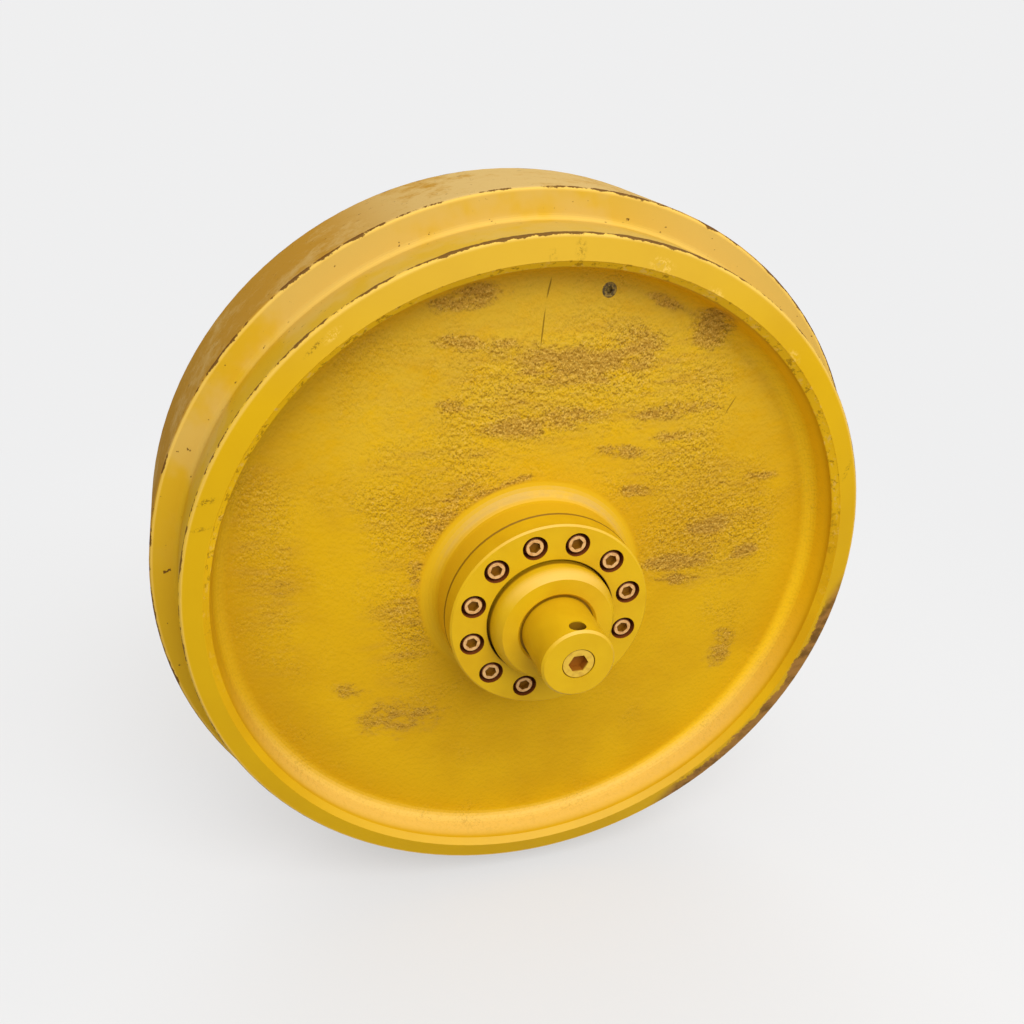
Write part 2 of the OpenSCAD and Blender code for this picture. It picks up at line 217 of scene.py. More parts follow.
def wheelPlace(tree):
    # place on the part: radius from the spin axis, distance from the mid-plane, and how the surface lies
    coord = tree.nodes.new("ShaderNodeTexCoord")
    parts = tree.nodes.new("ShaderNodeSeparateXYZ")
    feed(tree, coord.outputs["Object"], parts.inputs[0])
    x, y, z = parts.outputs
    normal = tree.nodes.new("ShaderNodeSeparateXYZ")
    feed(tree, coord.outputs["Normal"], normal.inputs[0])
    upward = normal.outputs[2]
    outward = calc(tree, "ABSOLUTE", normal.outputs[1])
    return {
        "place": coord.outputs["Object"],
        "x": x,
        "z": z,
        "radius": reach(tree, x, z),
        "height": calc(tree, "ABSOLUTE", y),
        "front": fade(tree, y, *facing["front"]),
        "level": fade(tree, upward, *facing["level"]),
        # mask for painted highlights: slopes that look up and out
        "slant": both(tree, fade(tree, upward, *facing["upward"]), fade(tree, outward, *facing["outward"])),
    }


def edgeLine(tree, here, radius, height, inner, outer, ragged=0.0):
    # 1 on a ring-shaped edge of the wheel, 0 a little away from it
    away = reach(tree, less(tree, here["radius"], radius), less(tree, here["height"], height))
    return fade(tree, plus(tree, away, ragged), outer, inner)


# cast wheel: worn yellow paint over a sand casting

wheelPaint = {
    "tone": {
        "yellow": tint(219, 171, 16),
        "orange": tint(207, 157, 14),
        "boss": tint(219, 174, 26),
        "tread": tint(206, 163, 18),
        "dust": tint(208, 171, 86),
        "stroke": tint(210, 170, 46),
        # painted shade for the recess corner
        "corner": tint(184, 138, 12),
        # painted light for the ridge's chamfer and the recess wall
        "ridge": tint(244, 196, 26),
        # orange of the painted shade under the rim's top
        "shaded": tint(238, 176, 10),
        # pale rubbed paint, and the colour of the painted highlights
        "polished": tint(238, 196, 92),
        "flange": tint(182, 133, 40),
        "flangePale": tint(206, 172, 104),
        "worn": tint(180, 134, 52),
        "pit": tint(106, 76, 16),
        # pale flecks, and the painted light on top of the lumps
        "fleck": tint(234, 190, 84),
        # dark notches, and the painted shade below the lumps
        "under": tint(146, 104, 16),
        "chip": tint(92, 56, 24),
        "bare": tint(150, 102, 50),
        "seam": tint(116, 76, 8),
    },
    # scale, detail and roughness of each noise, and a shift where two would match
    "noise": {
        "cloud": (7.0, 3.0),
        "broad": (9.0, 4.0),
        "skin": (30.0, 3.0),
        "streaks": ((16.0, 16.0, 80.0), 5.0, 0.62),
        "broken": ((30.0, 50.0, 30.0), 6.0, 0.75),
        "lumps": ((38.0, 38.0, 62.0), 4.0, 0.60),
        "notches": (110.0, 4.0, 0.70),
        "grazes": (130.0, 4.0, 0.70, (5.0, 2.0, 4.0)),
        "nicks": ((120.0, 260.0, 120.0), 3.0, 0.60),
        "sand": (190.0, 4.0, 0.65),
        "sandAbove": (190.0, 4.0, 0.65, (0.0, 0.0, 0.0018)),
        "fine": (210.0, 5.0, 0.75),
        "torn": (340.0, 4.0, 0.70),
        "pits": (430.0, 3.0, 0.60),
        "flecks": (440.0, 3.0, 0.55, (3.0, 1.0, 2.0)),
    },
    # radii where each form starts and is whole; web, the ridge's painted light and lip run from, to, and how
    # softly
    "radius": {
        "web": (0.134, 0.366, 0.003),
        "ridge": (0.3684, 0.3744, 0.0008),
        "lip": (0.3676, 0.3752, 0.0008),
        "boss": (0.136, 0.128),
        "footOuter": (0.140, 0.132),
        "footInner": (0.1155, 0.1190),
        "corner": (0.270, 0.362),
        "wallFoot": (0.346, 0.362),
        "wallHead": (0.3687, 0.3657),
        "rim": (0.366, 0.369),
        "rimFace": (0.3745, 0.3765),
        "bare": (0.378, 0.383),
        "outside": (0.3980, 0.4005),
        "flangeTop": (flangeRadius - 0.0017, flangeRadius - 0.0005),
    },
    # the same for distances from the mid-plane
    "height": {
        "web": (0.140, 0.136),
        "wall": (0.140, 0.132),
        "ridge": (0.137, 0.139),
        "rim": (0.135, 0.139),
        "bare": (0.128, 0.136),
    },
    # the same across the wheel, along x
    "across": {
        "corner": (-0.06, -0.24),
        "dust": (-0.02, 0.20),
        "wall": (0.05, 0.25),
    },
    # the same up the wheel, along z
    "up": {
        "lip": (-0.12, 0.16),
        "ridge": (0.00, 0.12),
        "dust": (0.02, 0.22),
        "strokes": (0.05, 0.28),
        "shaded": (0.22, 0.32),
        "dustTop": (0.24, 0.38),
        "bitten": (0.33, 0.39),
        "crown": (0.37, 0.43),
    },
    # radius and distance from the mid-plane of each edge, then where its line is full and where it ends
    "edge": {
        "flangeRubbed": (flangeRadius - 0.0022, 0.0690, 0.0006, 0.0026),
        "treadRubbed": (0.3980, 0.1416, 0.0006, 0.0030),
        "flangeChips": (flangeRadius - 0.0004, 0.0672, 0.0003, 0.0011),
        "treadChips": (0.3997, 0.1390, 0.0003, 0.0011),
        "bossSeam": (0.1150, hubFace, 0.0008, 0.0022),
    },
    # noise at which each mark starts and is full; for oval marks, where they end and are full
    "cut": {
        "cloud": (0.35, 0.72),
        "dust": (0.42, 0.58),
        "strokes": (0.30, 0.60),
        "shine": (0.00, 0.50),
        "foot": (0.14, 0.54),
        "flange": (0.44, 0.74),
        "crown": (0.20, 0.50),
        "streaky": (0.54, 0.74),
        "smear": (0.42, 0.66),
        "wear": (0.22, 0.85),
        "rough": (0.42, 1.00),
        "upperSide": (0.03, 0.18),
        "lowerSide": (0.01, -0.13),
        "pits": (0.50, 0.70),
        "flecks": (0.54, 0.68),
        "torn": (0.48, 0.58),
        "notches": (0.55, 0.63),
        "grazes": (0.57, 0.64),
        "nicks": (0.68, 0.72),
        "brown": (0.42, 0.66),
        "patches": (1.7, 0.1),
        "roughPlaces": (1.5, 0.2),
        "scratches": (1.3, 0.6),
        "rimMarks": (1.5, 0.4),
    },
    # how strongly each layer shows
    "share": {
        "rimFace": 0.45,
        "tread": 0.80,
        "dustHigh": 0.80,
        "dustAll": 0.10,
        "dustTop": 0.25,
        "dust": 0.95,
        "strokes": 0.65,
        "corner": 0.55,
        "ridge": 0.80,
        "wall": 0.60,
        "shaded": 0.80,
        "slant": 0.50,
        "foot": 0.95,
        "flangeLumps": 0.60,
        "flangeFine": 0.50,
        "flangePale": 0.60,
        "streaky": 0.50,
        "smear": 0.50,
        "wear": 0.80,
        "upperSide": 0.80,
        "lowerSide": 1.25,
        "pits": 0.60,
        "flecks": 0.65,
        "scratches": 0.70,
        "rimMarks": 0.80,
        "notches": 0.65,
        "grazes": 0.70,
        "rubbed": 0.60,
        "chips": 0.90,
        "bare": 0.90,
        "seam": 0.85,
    },
    # how far each noise breaks up the worn places, near them and everywhere
    "wearStreaks": 0.9,
    "wearLumps": 1.9,
    "wearFine": 1.3,
    "wearNear": 0.75,
    "wearAll": 0.25,
    # how much wear, rough places and the plain web show the lumps of the casting
    "roughWear": 0.60,
    "roughPlace": 0.40,
    "lumpyRough": 0.62,
    "lumpyWeb": 0.10,
    "chipMiddle": 0.505,    # noise at which the chipped edge lies true
    # how far the ragged edges move over the whole range of noise, and the extra bite at the top, in metres
    "chipDepth": 0.018,
    "biteDepth": 0.0016,
    "bareDepth": 0.045,
    # way to the bare edge, in degrees below +x, and how far out it starts and is whole
    "bareAngle": 33.0,
    "bareFrom": (0.335, 0.360),
    # gloss and relief
    "specular": 0.07,
    "roughness": 0.42,
    "wornDull": 0.25,
    "outsideDull": 0.20,
    "flangeDull": 0.50,
    "wearRelief": -0.5,
    "dentRelief": -0.6,
    "sandRelief": 1.2,
    "skinRelief": 0.5,
    "bumpStrength": 0.5,
    "bumpHeight": 0.0018,
    "rearTurn": 2.4,    # the rear half carries the same marks, turned so far round the axle
    "markDepth": 100.0,    # half depth of an oval mark along the axle
    # x, z, half length, half height, turn and strength of each worn place on the front web
    "patches": [
        (0.045, 0.260, 0.075, 0.020, -4, 1.0),
        (-0.085, 0.290, 0.030, 0.010, -4, 0.8),
        (0.000, 0.200, 0.075, 0.015, 4, 0.9),
        (-0.095, 0.225, 0.018, 0.008, -5, 0.8),
        (0.160, 0.200, 0.060, 0.010, 1, 0.7),
        (0.165, 0.170, 0.035, 0.008, -1, 0.6),
        (0.095, 0.160, 0.035, 0.010, -5, 0.75),
        (0.190, 0.290, 0.025, 0.025, -3, 0.95),
        (0.135, 0.320, 0.025, 0.008, -20, 0.7),
        (0.185, 0.010, 0.045, 0.013, -3, 1.0),
        (0.185, -0.015, 0.030, 0.009, -7, 0.9),
        (0.220, 0.050, 0.030, 0.013, 2, 0.9),
        (0.275, 0.010, 0.022, 0.012, 4, 0.95),
        (0.115, 0.110, 0.025, 0.008, -6, 0.8),
        (-0.075, 0.335, 0.045, 0.014, 10, 0.75),
        (0.280, 0.110, 0.025, 0.007, -6, 0.7),
        (-0.160, -0.170, 0.065, 0.035, -10, 0.6),
        (0.265, -0.130, 0.024, 0.036, -8, 0.6),
        (-0.040, 0.125, 0.045, 0.010, 20, 0.8),
        (-0.220, -0.120, 0.035, 0.015, -10, 0.5),
        (0.110, 0.275, 0.030, 0.022, -4, 0.75),
        (-0.050, 0.285, 0.050, 0.012, -3, 0.45),
        (-0.020, 0.250, 0.040, 0.010, 2, 0.40),
        (-0.105, 0.100, 0.040, 0.011, 45, 0.55),
        (-0.140, 0.030, 0.035, 0.010, 80, 0.45),
    ],
    # the same for places where the casting is rough, and for scratches
    "roughPlaces": [
        (-0.10, 0.12, 0.11, 0.09, 0, 0.8),
        (-0.15, -0.02, 0.05, 0.11, 0, 0.8),
        (-0.30, 0.05, 0.04, 0.15, 0, 0.6),
        (0.06, 0.24, 0.21, 0.08, 0, 0.8),
        (0.23, 0.06, 0.08, 0.10, 0, 0.8),
        (0.16, 0.14, 0.08, 0.05, 0, 0.7),
    ],
    "scratches": [
        (0.006, 0.340, 0.0009, 0.010, -12, 1.0),
        (0.001, 0.300, 0.0008, 0.019, -5, 1.0),
        (0.227, 0.200, 0.0008, 0.011, -30, 0.8),
    ],
    # dark scuffs and pale scrapes on the rim
    "scuffs": [
        (-0.356, 0.158, 0.011, 0.003, 18, 0.8),
        (-0.364, 0.129, 0.010, 0.002, 14, 0.7),
        (-0.238, 0.306, 0.012, 0.002, 42, 0.8),
        (0.100, 0.388, 0.017, 0.004, -14, 1.0),
        (0.366, 0.124, 0.003, 0.011, -15, 0.6),
        (0.022, 0.384, 0.005, 0.009, -4, 0.6),
        (-0.006, 0.380, 0.004, 0.006, 0, 0.4),
        (0.105, 0.366, 0.006, 0.003, -16, 0.5),
    ],
    "scrapes": [
        (0.107, 0.366, 0.012, 0.006, -16, 1.0),
        (0.168, 0.335, 0.010, 0.005, -26, 0.9),
        (-0.220, 0.317, 0.010, 0.004, 40, 0.8),
        (0.270, 0.265, 0.009, 0.004, -45, 0.7),
    ],
}


def wheelLook(*names):
    return [wheelPaint[name] for name in names]


def spots(tree, place, rows, outer, inner):
    # soft oval marks in the XZ plane
    marks = []
    for x, z, wide, high, turn, strength in rows:
        half = (wide, wheelPaint["markDepth"], high)
        local = stretch(tree, place, half, (0.0, -math.radians(turn), 0.0), (x, 0.0, z), "TEXTURE")
        marks.append(both(tree, fade(tree, size(tree, local), outer, inner), strength))
    return either(tree, *marks)


def readWheel(tree):
    # the masks of the wheel's forms and all its noises
    radius, height, rows, rearTurn = wheelLook("radius", "height", "noise", "rearTurn")
    here = wheelPlace(tree)
    turned = stretch(tree, here["place"], turn=(0.0, rearTurn, 0.0))
    here["marked"] = pick(tree, here["front"], turned, here["place"])
    for name in ("outside", "flangeTop", "wallFoot"):
        here[name] = fade(tree, here["radius"], *radius[name])
    webTop = fade(tree, here["height"], *height["web"])
    here["web"] = both(tree, between(tree, here["radius"], *radius["web"]), webTop)
    wallHead = fade(tree, here["radius"], *radius["wallHead"])
    here["wall"] = both(tree, here["wallFoot"], wallHead, fade(tree, here["height"], *height["wall"]))
    rimTop = fade(tree, here["height"], *height["rim"])
    here["rim"] = both(tree, fade(tree, here["radius"], *radius["rim"]), rimTop)
    noise = {}
    for name, row in rows.items():
        noise[name] = grain(tree, here["place"], *row)
    return here, noise


def layPaint(tree, here, noise):
    # slow change of the paint's colour, and the duller tread and rim face
    tone, radius, cut, share = wheelLook("tone", "radius", "cut", "share")
    colour = blend(tree, fade(tree, noise["cloud"], *cut["cloud"]), tone["yellow"], tone["orange"])
    rimFace = both(tree, fade(tree, here["radius"], *radius["rimFace"]), share["rimFace"])
    tread = both(tree, here["outside"], share["tread"])
    return coat(tree, colour, tone["tread"], either(tree, rimFace, tread))


def layDust(tree, here, noise, colour):
    # pale dust on the tread, on the flange and high up, and strokes across the upper web
    tone, across, up, cut, share = wheelLook("tone", "across", "up", "cut", "share")
    high = either(tree, fade(tree, noise["broad"], *cut["dust"]), fade(tree, here["x"], *across["dust"]))
    high = both(tree, high, fade(tree, here["z"], *up["dust"]), share["dustHigh"])
    dust = both(tree, here["outside"], plus(tree, high, share["dustAll"]))
    dustTop = both(tree, fade(tree, here["z"], *up["dustTop"]), share["dustTop"])
    colour = coat(tree, colour, tone["dust"], either(tree, dust, dustTop), share["dust"])
    strokes = both(tree, fade(tree, here["z"], *up["strokes"]), fade(tree, noise["lumps"], *cut["strokes"]))
    return coat(tree, colour, tone["stroke"], strokes, here["web"], share["strokes"])


def toneForms(tree, here, noise, colour):
    # painted shade in the recess corner on one side, painted light on the ridge and the recess wall, an
    # orange painted shade under the top of the rim, painted highlights, the boss's tone and dust on the foot
    # of the boss
    tone, radius, height, across, up = wheelLook("tone", "radius", "height", "across", "up")
    cut, share = wheelLook("cut", "share")
    # painted shade: the recess corner darker on one side
    corner = fade(tree, here["radius"], *radius["corner"])
    corner = both(tree, corner, fade(tree, here["x"], *across["corner"]))
    colour = coat(tree, colour, tone["corner"], corner, here["web"], share["corner"])
    # painted light: the ridge's chamfer lighter on the upper half
    ridge = both(tree, between(tree, here["radius"], *radius["ridge"]), fade(tree, here["z"], *up["ridge"]))
    ridgeTop = fade(tree, here["height"], *height["ridge"])
    colour = coat(tree, colour, tone["ridge"], ridge, ridgeTop, share["ridge"])
    colour = coat(tree, colour, tone["boss"], fade(tree, here["radius"], *radius["boss"]))
    # painted light: the recess wall lighter, most of all on the right side
    colour = coat(tree, colour, tone["boss"], here["wall"], share["wall"])
    colour = coat(tree, colour, tone["ridge"], here["wall"], fade(tree, here["x"], *across["wall"]))
    # painted shade: an orange tone where the top of the rim shades the recess
    shaded = both(tree, here["wallFoot"], fade(tree, here["z"], *up["shaded"]))
    colour = coat(tree, colour, tone["shaded"], shaded, here["web"], share["shaded"])
    # painted highlights: pale on slopes that look up and out, and on level parts of the recess wall
    shine = both(tree, here["wall"], here["level"], fade(tree, noise["fine"], *cut["shine"]))
    bright = either(tree, both(tree, here["slant"], share["slant"]), shine)
    colour = coat(tree, colour, tone["polished"], bright)
    foot = both(tree, fade(tree, here["radius"], *radius["footOuter"]),
                fade(tree, here["radius"], *radius["footInner"]))
    foot = both(tree, foot, here["level"], fade(tree, noise["lumps"], *cut["foot"]))
    return coat(tree, colour, tone["dust"], foot, share["foot"])


def paintFlange(tree, here, noise, colour):
    # mottled top of the flange, palest high up
    tone, up, cut, share = wheelLook("tone", "up", "cut", "share")
    mottled = plus(tree, noise["broad"], swing(tree, noise["lumps"], share["flangeLumps"]),
                   swing(tree, noise["fine"], share["flangeFine"]))
    pale = both(tree, fade(tree, mottled, *cut["flange"]), share["flangePale"])
    crown = both(tree, fade(tree, here["z"], *up["crown"]), fade(tree, mottled, *cut["crown"]))
    flange = blend(tree, either(tree, pale, crown), tone["flange"], tone["flangePale"])
    return coat(tree, colour, flange, here["flangeTop"])


def wearWeb(tree, here, noise, colour):
    # worn places on the web, drawn out sideways
    look = wheelPaint
    tone, cut, share = wheelLook("tone", "cut", "share")
    zones = spots(tree, here["marked"], look["roughPlaces"], *cut["roughPlaces"])
    patch = spots(tree, here["marked"], look["patches"], *cut["patches"])
    near = either(tree, patch, zones)
    streaky = both(tree, fade(tree, noise["streaks"], *cut["streaky"]), zones, share["streaky"])
    chance = plus(tree, swing(tree, noise["streaks"], look["wearStreaks"]),
                  swing(tree, noise["lumps"], look["wearLumps"]),
                  swing(tree, noise["fine"], look["wearFine"]))
    chance = both(tree, chance, plus(tree, both(tree, near, look["wearNear"]), look["wearAll"]))
    wear = plus(tree, either(tree, patch, streaky), chance)
    here["wear"] = both(tree, fade(tree, wear, *cut["wear"]), here["web"])
    here["zones"] = zones
    smear = both(tree, fade(tree, noise["streaks"], *cut["smear"]), zones, here["web"])
    colour = coat(tree, colour, tone["worn"], smear, share["smear"])
    return coat(tree, colour, tone["worn"], here["wear"], share["wear"])


def roughenWeb(tree, here, noise, colour):
    # lumps, pits and flecks of the sand casting, thickest where the paint is worn, painted light on the top
    # of each lump and painted shade below it, and the scratches
    look = wheelPaint
    tone, cut, share = wheelLook("tone", "cut", "share")
    rough = plus(tree, both(tree, here["wear"], look["roughWear"]),
                 both(tree, here["zones"], look["roughPlace"]), noise["broad"])
    rough = both(tree, fade(tree, rough, *cut["rough"]), here["web"])
    lumpy = either(tree, both(tree, rough, look["lumpyRough"]), both(tree, here["web"], look["lumpyWeb"]))
    slope = less(tree, noise["sand"], noise["sandAbove"])
    upperSide = fade(tree, slope, *cut["upperSide"])    # painted light on the top of each lump, painted shade below it
    lowerSide = fade(tree, slope, *cut["lowerSide"])
    colour = coat(tree, colour, tone["fleck"], upperSide, lumpy, share["upperSide"])
    colour = coat(tree, colour, tone["under"], lowerSide, lumpy, share["lowerSide"])
    pits = both(tree, fade(tree, noise["pits"], *cut["pits"]), rough)
    colour = coat(tree, colour, tone["pit"], pits, share["pits"])
    flecks = fade(tree, noise["flecks"], *cut["flecks"])
    colour = coat(tree, colour, tone["fleck"], flecks, rough, share["flecks"])
    scratch = both(tree, spots(tree, here["marked"], look["scratches"], *cut["scratches"]), here["web"])
    here["rough"] = rough
    here["lumpy"] = lumpy
    here["dents"] = either(tree, pits, scratch)
    return coat(tree, colour, tone["pit"], scratch, share["scratches"])


def markRim(tree, here, noise, colour):
    # pale scrapes, dark scuffs, and notches and flecks along the ridge's inner lip
    look = wheelPaint
    tone, radius, up, cut, share = wheelLook("tone", "radius", "up", "cut", "share")
    torn = both(tree, fade(tree, noise["torn"], *cut["torn"]), here["rim"])
    for rows, mark in (("scrapes", "polished"), ("scuffs", "pit")):
        places = spots(tree, here["marked"], look[rows], *cut["rimMarks"])
        colour = coat(tree, colour, tone[mark], places, torn, share["rimMarks"])
    lip = both(tree, between(tree, here["radius"], *radius["lip"]), here["rim"])
    lip = both(tree, lip, fade(tree, here["z"], *up["lip"]))
    for name, mark in (("notches", "under"), ("grazes", "polished")):
        colour = coat(tree, colour, tone[mark], lip, fade(tree, noise[name], *cut[name]), share[name])
    return colour


def wearEdges(tree, here, noise, colour):
    # a pale line on the edges of the flange and the tread, partly rubbed paint and partly painted highlight,
    # and thin dark chips beside it
    look = wheelPaint
    tone, edge, up, cut, share = wheelLook("tone", "edge", "up", "cut", "share")
    rubbed = either(tree, edgeLine(tree, here, *edge["flangeRubbed"]),
                    edgeLine(tree, here, *edge["treadRubbed"]))
    colour = coat(tree, colour, tone["polished"], rubbed, share["rubbed"])
    ragged = both(tree, less(tree, look["chipMiddle"], noise["broken"]), look["chipDepth"])
    bitten = less(tree, ragged, both(tree, fade(tree, here["z"], *up["bitten"]), look["biteDepth"]))
    flangeChips = edgeLine(tree, here, *edge["flangeChips"], ragged)
    treadChips = edgeLine(tree, here, *edge["treadChips"], bitten)
    nicks = both(tree, fade(tree, noise["nicks"], *cut["nicks"]), here["outside"])
    return coat(tree, colour, tone["chip"], either(tree, flangeChips, treadChips, nicks), share["chips"])


def bareEdge(tree, here, noise, colour):
    # paint gone from the rim low on one side, and the dark seam round the hub
    look = wheelPaint
    tone, radius, height, edge, cut = wheelLook("tone", "radius", "height", "edge", "cut")
    share = look["share"]
    angle = math.radians(look["bareAngle"])
    lowSide = less(tree, both(tree, here["x"], math.cos(angle)), both(tree, here["z"], math.sin(angle)))
    ragged = plus(tree, here["radius"], swing(tree, noise["broken"], look["bareDepth"]))
    bare = both(tree, fade(tree, lowSide, *look["bareFrom"]), fade(tree, ragged, *radius["bare"]))
    bare = both(tree, bare, here["front"], fade(tree, here["height"], *height["bare"]))
    brown = blend(tree, fade(tree, noise["lumps"], *cut["brown"]), tone["bare"], tone["chip"])
    colour = coat(tree, colour, brown, bare, share["bare"])
    return coat(tree, colour, tone["seam"], edgeLine(tree, here, *edge["bossSeam"]), share["seam"])


def makeWheelPaint():
    look = wheelPaint
    material, tree, shader = newFinish("wornWheelPaint")
    here, noise = readWheel(tree)
    colour = layPaint(tree, here, noise)
    for layer in (layDust, toneForms, paintFlange, wearWeb, roughenWeb, markRim, wearEdges, bareEdge):
        colour = layer(tree, here, noise, colour)
    feed(tree, colour, shader.inputs["Base Color"])
    shader.inputs["Specular IOR Level"].default_value = look["specular"]
    dull = either(tree, both(tree, here["wear"], look["wornDull"]),
                  both(tree, here["outside"], look["outsideDull"]),
                  both(tree, here["flangeTop"], look["flangeDull"]))
    feed(tree, plus(tree, dull, look["roughness"]), shader.inputs["Roughness"])
    relief = plus(tree, both(tree, noise["fine"], here["rough"]),
                  both(tree, here["wear"], look["wearRelief"]),
                  both(tree, here["dents"], look["dentRelief"]),
                  both(tree, noise["sand"], here["lumpy"], look["sandRelief"]),
                  both(tree, noise["skin"], look["skinRelief"]))
    addBump(tree, relief, look["bumpStrength"], look["bumpHeight"], shader)
    return material


dress(["half_shell_front", "half_shell_rear", "rim_weld"], makeWheelPaint())
print("wheel painted")


# turned pieces: smooth yellow paint on the covers, the collars and the shaft

# ring of cover screws: radius in metres, angle of the first and step in degrees
coverScrews = {"circle": 0.092, "phase": 13.75, "step": 30.0}

hubPaint = {
    "yellow": tint(220, 176, 20),
    "orange": tint(209, 162, 16),
    # colour of the painted highlights
    "polished": tint(240, 196, 96),
    "bore": tint(128, 66, 28),
    "seam": tint(116, 76, 8),
    # painted shade inside the locking-pin hole
    "hole": tint(136, 94, 18),
    # scale and detail of the noises
    "cloud": (16.0, 3.0),
    "skin": (90.0, 4.0),
    "cloudCut": (0.35, 0.75),
    "highlightShare": 0.75,
    "specular": 0.14,
    "roughness": 0.28,
    "cloudRoughness": 0.20,
    "bumpStrength": 0.15,
    "bumpHeight": 0.001,
    # counterbores, and the gap round the collar
    "boreRadius": (0.0145, 0.0141),
    "boreTop": (coverFace + 0.0002, coverFace - 0.0006),
    "collarGap": (0.0740, 0.0730),
    # locking-pin hole: distance from the mid-plane, radius, and from and to along z, with the soft edge
    "holeHeight": 0.2684,
    "holeRadius": (0.0094, 0.0089),
    "holeDepth": (0.0190, 0.0386, 0.0006),
    # radius and distance from the mid-plane of each seam, then where its line is full and where it ends
    "coverSeam": (coverRadius + 0.0002, hubFace, 0.0008, 0.0022),
    "shaftSeam": (0.0405, 0.2090, 0.0010, 0.0030),
    "collarSeam": (collarRadius, coverFace + 0.001, 0.0010, 0.0050),
    "coverSeamShare": 0.85,
    "shaftSeamShare": 0.80,
}


def screwDistance(tree, here):
    # distance to the axis of the nearest cover screw
    step = math.radians(coverScrews["step"])
    start = math.radians(coverScrews["phase"]) - step / 2
    angle = calc(tree, "ARCTAN2", here["z"], here["x"])
    turn = calc(tree, "FLOORED_MODULO", less(tree, angle, start), step)
    turn = less(tree, turn, step / 2)
    along = less(tree, both(tree, here["radius"], calc(tree, "COSINE", turn)), coverScrews["circle"])
    across = both(tree, here["radius"], calc(tree, "SINE", turn))
    return reach(tree, across, along)


def startHubPaint(name):
    look = hubPaint
    material, tree, shader = newFinish(name)
    here = wheelPlace(tree)
    cloud = grain(tree, here["place"], *look["cloud"])
    colour = blend(tree, fade(tree, cloud, *look["cloudCut"]), look["yellow"], look["orange"])
    # painted highlight on slopes that look up and out
    colour = coat(tree, colour, look["polished"], here["slant"], look["highlightShare"])
    shader.inputs["Specular IOR Level"].default_value = look["specular"]
    roughness = plus(tree, both(tree, cloud, look["cloudRoughness"]), look["roughness"])
    feed(tree, roughness, shader.inputs["Roughness"])
    addBump(tree, grain(tree, here["place"], *look["skin"]), look["bumpStrength"], look["bumpHeight"], shader)
    return material, tree, shader, here, colour


def makeCoverPaint():
    look = hubPaint
    material, tree, shader, here, colour = startHubPaint("coverPaint")
    inside = fade(tree, screwDistance(tree, here), *look["boreRadius"])
    colour = coat(tree, colour, look["bore"], inside, fade(tree, here["height"], *look["boreTop"]))
    gap = fade(tree, here["radius"], *look["collarGap"])
    seam = either(tree, edgeLine(tree, here, *look["coverSeam"]), gap)
    colour = coat(tree, colour, look["seam"], seam, look["coverSeamShare"])
    feed(tree, colour, shader.inputs["Base Color"])
    return material


def makeShaftPaint():
    look = hubPaint
    material, tree, shader, here, colour = startHubPaint("shaftPaint")
    away = reach(tree, less(tree, here["height"], look["holeHeight"]), here["x"])
    hole = both(tree, fade(tree, away, *look["holeRadius"]), between(tree, here["z"], *look["holeDepth"]))
    # painted shade inside the locking-pin hole
    colour = coat(tree, colour, look["hole"], hole)
    seam = either(tree, edgeLine(tree, here, *look["shaftSeam"]), edgeLine(tree, here, *look["collarSeam"]))
    colour = coat(tree, colour, look["seam"], seam, look["shaftSeamShare"])
    feed(tree, colour, shader.inputs["Base Color"])
    return material


dress(["cover_front", "cover_rear"], makeCoverPaint())
dress(["collar_front", "collar_rear", "shaft"], makeShaftPaint())
print("hub painted")


# screws and plugs: oiled steel with a dark socket, painted shade in the screw sockets

screwSteel = {
    "face": tint(230, 182, 118),
    "rust": tint(204, 150, 88),
    "side": tint(104, 56, 24),
    # painted shade in the screw's hex socket
    "socket": tint(140, 92, 14),
    "grain": (260.0, 4.0),
    "rustCut": (0.4, 0.7),
    "skin": (500.0, 3.0),
    "roughness": 0.45,
    "metallic": 0.1,
    "specular": 0.2,
    "bumpStrength": 0.2,
    "bumpHeight": 0.0005,
    # from the screw's axis, and from the mid-plane
    "sideRadius": (0.0093, 0.0099),
    "socketRadius": (0.0090, 0.0080),
    "socketTop": (screwFace - 0.0003, screwFace - 0.0012),
}


def makeScrewSteel():
    look = screwSteel
    material, tree, shader = newFinish("oiledScrewSteel", look["roughness"], look["metallic"])
    here = wheelPlace(tree)
    rust = fade(tree, grain(tree, here["place"], *look["grain"]), *look["rustCut"])
    colour = blend(tree, rust, look["face"], look["rust"])
    away = screwDistance(tree, here)
    colour = coat(tree, colour, look["side"], fade(tree, away, *look["sideRadius"]))
    # painted shade in the hex socket
    below = fade(tree, here["height"], *look["socketTop"])
    colour = coat(tree, colour, look["socket"], below, fade(tree, away, *look["socketRadius"]))
    feed(tree, colour, shader.inputs["Base Color"])
    shader.inputs["Specular IOR Level"].default_value = look["specular"]
    addBump(tree, grain(tree, here["place"], *look["skin"]), look["bumpStrength"], look["bumpHeight"], shader)
    return material


plugSteel = {
    "face": tint(224, 182, 62),
    "stain": tint(176, 128, 44),
    "socket": tint(160, 96, 22),
    "ring": tint(120, 84, 12),
    "grain": (140.0, 4.0),
    "stainCut": (0.45, 0.75),
    "stainShare": 0.6,
    "skin": (400.0, 3.0),
    "roughness": 0.45,
    "specular": 0.2,
    "bumpStrength": 0.3,
    "bumpHeight": 0.0005,
    # from the spin axis, and from the mid-plane
    "ringRadius": (0.0164, 0.0172),
    "socketTop": (plugFace - 0.0004, plugFace - 0.0025),
}


